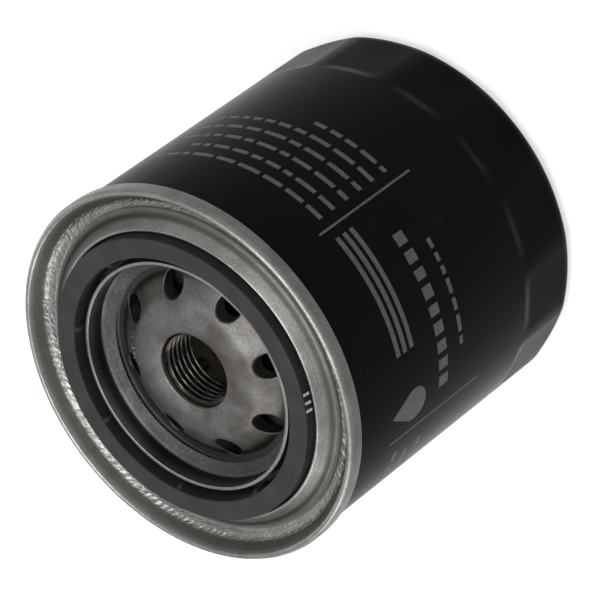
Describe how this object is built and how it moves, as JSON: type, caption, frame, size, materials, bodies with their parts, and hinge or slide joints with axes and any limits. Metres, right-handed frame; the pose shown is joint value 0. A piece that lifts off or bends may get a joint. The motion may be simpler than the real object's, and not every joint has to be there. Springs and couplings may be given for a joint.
{
  "type": "oil filter",
  "caption": "Spin-on engine oil filter: seamed steel can with wrench flats, sealing gasket, threaded neck with oil inlets, pleated paper element and valves inside.",
  "frame": {"origin": "on the filter's axis, at the level of the foot that the can stands on", "axes": "+Z along the filter's axis, out of the open, threaded end; +X and +Y square to it"},
  "size_m": [0.0948, 0.0948, 0.0925],
  "materials": {
    "can_paint": "satin",
    "lid_steel": "satin",
    "plate_steel": "satin",
    "sealant": "matt",
    "gasket_rubber": "matt",
    "valve_rubber": "matt",
    "cap_steel": "satin",
    "adhesive": "gloss",
    "filter_paper": "matt",
    "spring_steel": "bright",
    "valve_steel": "satin"
  },
  "bodies": {
    "root": {"can": "can_paint", "seaming_lid": "lid_steel", "seam_sealant": "sealant", "tapping_plate": "plate_steel", "gasket": "gasket_rubber", "drain_valve_hub": "valve_rubber", "upper_end_cap": "cap_steel", "lower_end_cap": "cap_steel", "upper_potting": "adhesive", "lower_potting": "adhesive", "filter_paper": "filter_paper", "centre_tube": "cap_steel", "pleat_clip": "cap_steel", "bypass_seat": "valve_steel", "bypass_cage": "valve_steel", "bypass_spring": "spring_steel", "spring_seat": "cap_steel", "element_spring": "spring_steel"},
    "bypass_poppet": {"bypass_disc": "valve_steel", "bypass_seal": "valve_rubber", "bypass_stem": "valve_steel"},
    "drain_lip": {"drain_valve_lip": "valve_rubber"}
  },
  "joints": [
    {"name": "bypass_lift", "type": "slide", "parent": "root", "child": "bypass_poppet", "axis": [0, 0, 1], "range_m": [0, 0.003], "stiffness_N_per_m": 2000, "springref_m": -0.0075, "deforming": ["bypass_spring"]},
    {"name": "drain_lip_drop", "type": "slide", "parent": "root", "child": "drain_lip", "axis": [0, 0, -1], "range_m": [0, 0.0011], "stiffness_N_per_m": 400, "springref_m": -0.0005}
  ]
}
